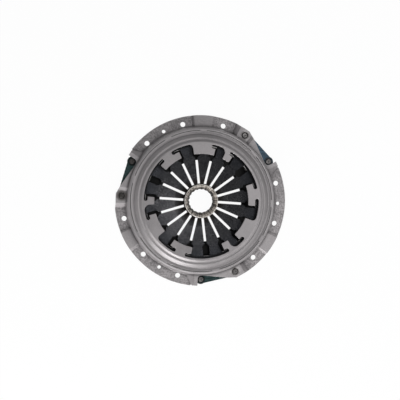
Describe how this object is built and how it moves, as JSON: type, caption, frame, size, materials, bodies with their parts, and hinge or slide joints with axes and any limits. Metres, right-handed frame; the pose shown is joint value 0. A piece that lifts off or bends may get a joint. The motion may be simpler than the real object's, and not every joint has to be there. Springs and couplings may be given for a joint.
{
  "type": "clutch pressure plate",
  "caption": "Pull-type diaphragm clutch cover assembly: pressed drum with tabs, fingered spring, release ring, pressure plate, drive straps and bolting flange.",
  "frame": {"origin": "on the axis, in the plane of the flange's mounting face", "axes": "+Z along the axis, from the flywheel to the gearbox; +X toward the dowel hole of one of the three equal sectors"},
  "size_m": [0.283, 0.2834, 0.034],
  "materials": {
    "pressed_steel": "pressed steel, blasted matt grey",
    "spring_steel": "dark hardened spring steel",
    "strap_steel": "blued strip steel",
    "cast_iron": "machined and cast grey iron",
    "rivet_steel": "plain steel",
    "ring_steel": "sintered, brownish grey steel"
  },
  "bodies": {
    "cover": {"cover": "pressed_steel", "pivot_ring": "rivet_steel", "diaphragm_spring": "spring_steel", "strap_1_leaf_1": "strap_steel", "strap_1_leaf_2": "strap_steel", "strap_1_leaf_3": "strap_steel", "strap_2_leaf_1": "strap_steel", "strap_2_leaf_2": "strap_steel", "strap_2_leaf_3": "strap_steel", "strap_3_leaf_1": "strap_steel", "strap_3_leaf_2": "strap_steel", "strap_3_leaf_3": "strap_steel", "cover_rivet_1": "rivet_steel", "cover_rivet_2": "rivet_steel", "cover_rivet_3": "rivet_steel", "strap_washer_1": "rivet_steel", "strap_washer_2": "rivet_steel", "strap_washer_3": "rivet_steel"},
    "pressure_plate": {"pressure_plate": "cast_iron", "plate_rivet_1": "rivet_steel", "plate_rivet_2": "rivet_steel", "plate_rivet_3": "rivet_steel"},
    "release_ring": {"release_ring": "ring_steel", "retainer_ring": "ring_steel", "preload_spring": "spring_steel"}
  },
  "joints": [
    {"name": "release_pull", "type": "slide", "parent": "cover", "child": "release_ring", "axis": [0, 0, 1], "range_m": [0, 0.009], "stiffness_N_per_m": 1500, "deforming": ["diaphragm_spring"]},
    {"name": "plate_lift", "type": "slide", "parent": "cover", "child": "pressure_plate", "axis": [0, 0, 1], "range_m": [0, 0.0013], "deforming": ["diaphragm_spring", "strap_1_leaf_1", "strap_1_leaf_2", "strap_1_leaf_3", "strap_2_leaf_1", "strap_2_leaf_2", "strap_2_leaf_3", "strap_3_leaf_1", "strap_3_leaf_2", "strap_3_leaf_3"]}
  ],
  "couplings": [
    {"joint": "plate_lift", "follows": "release_pull", "ratio": 0.14}
  ]
}
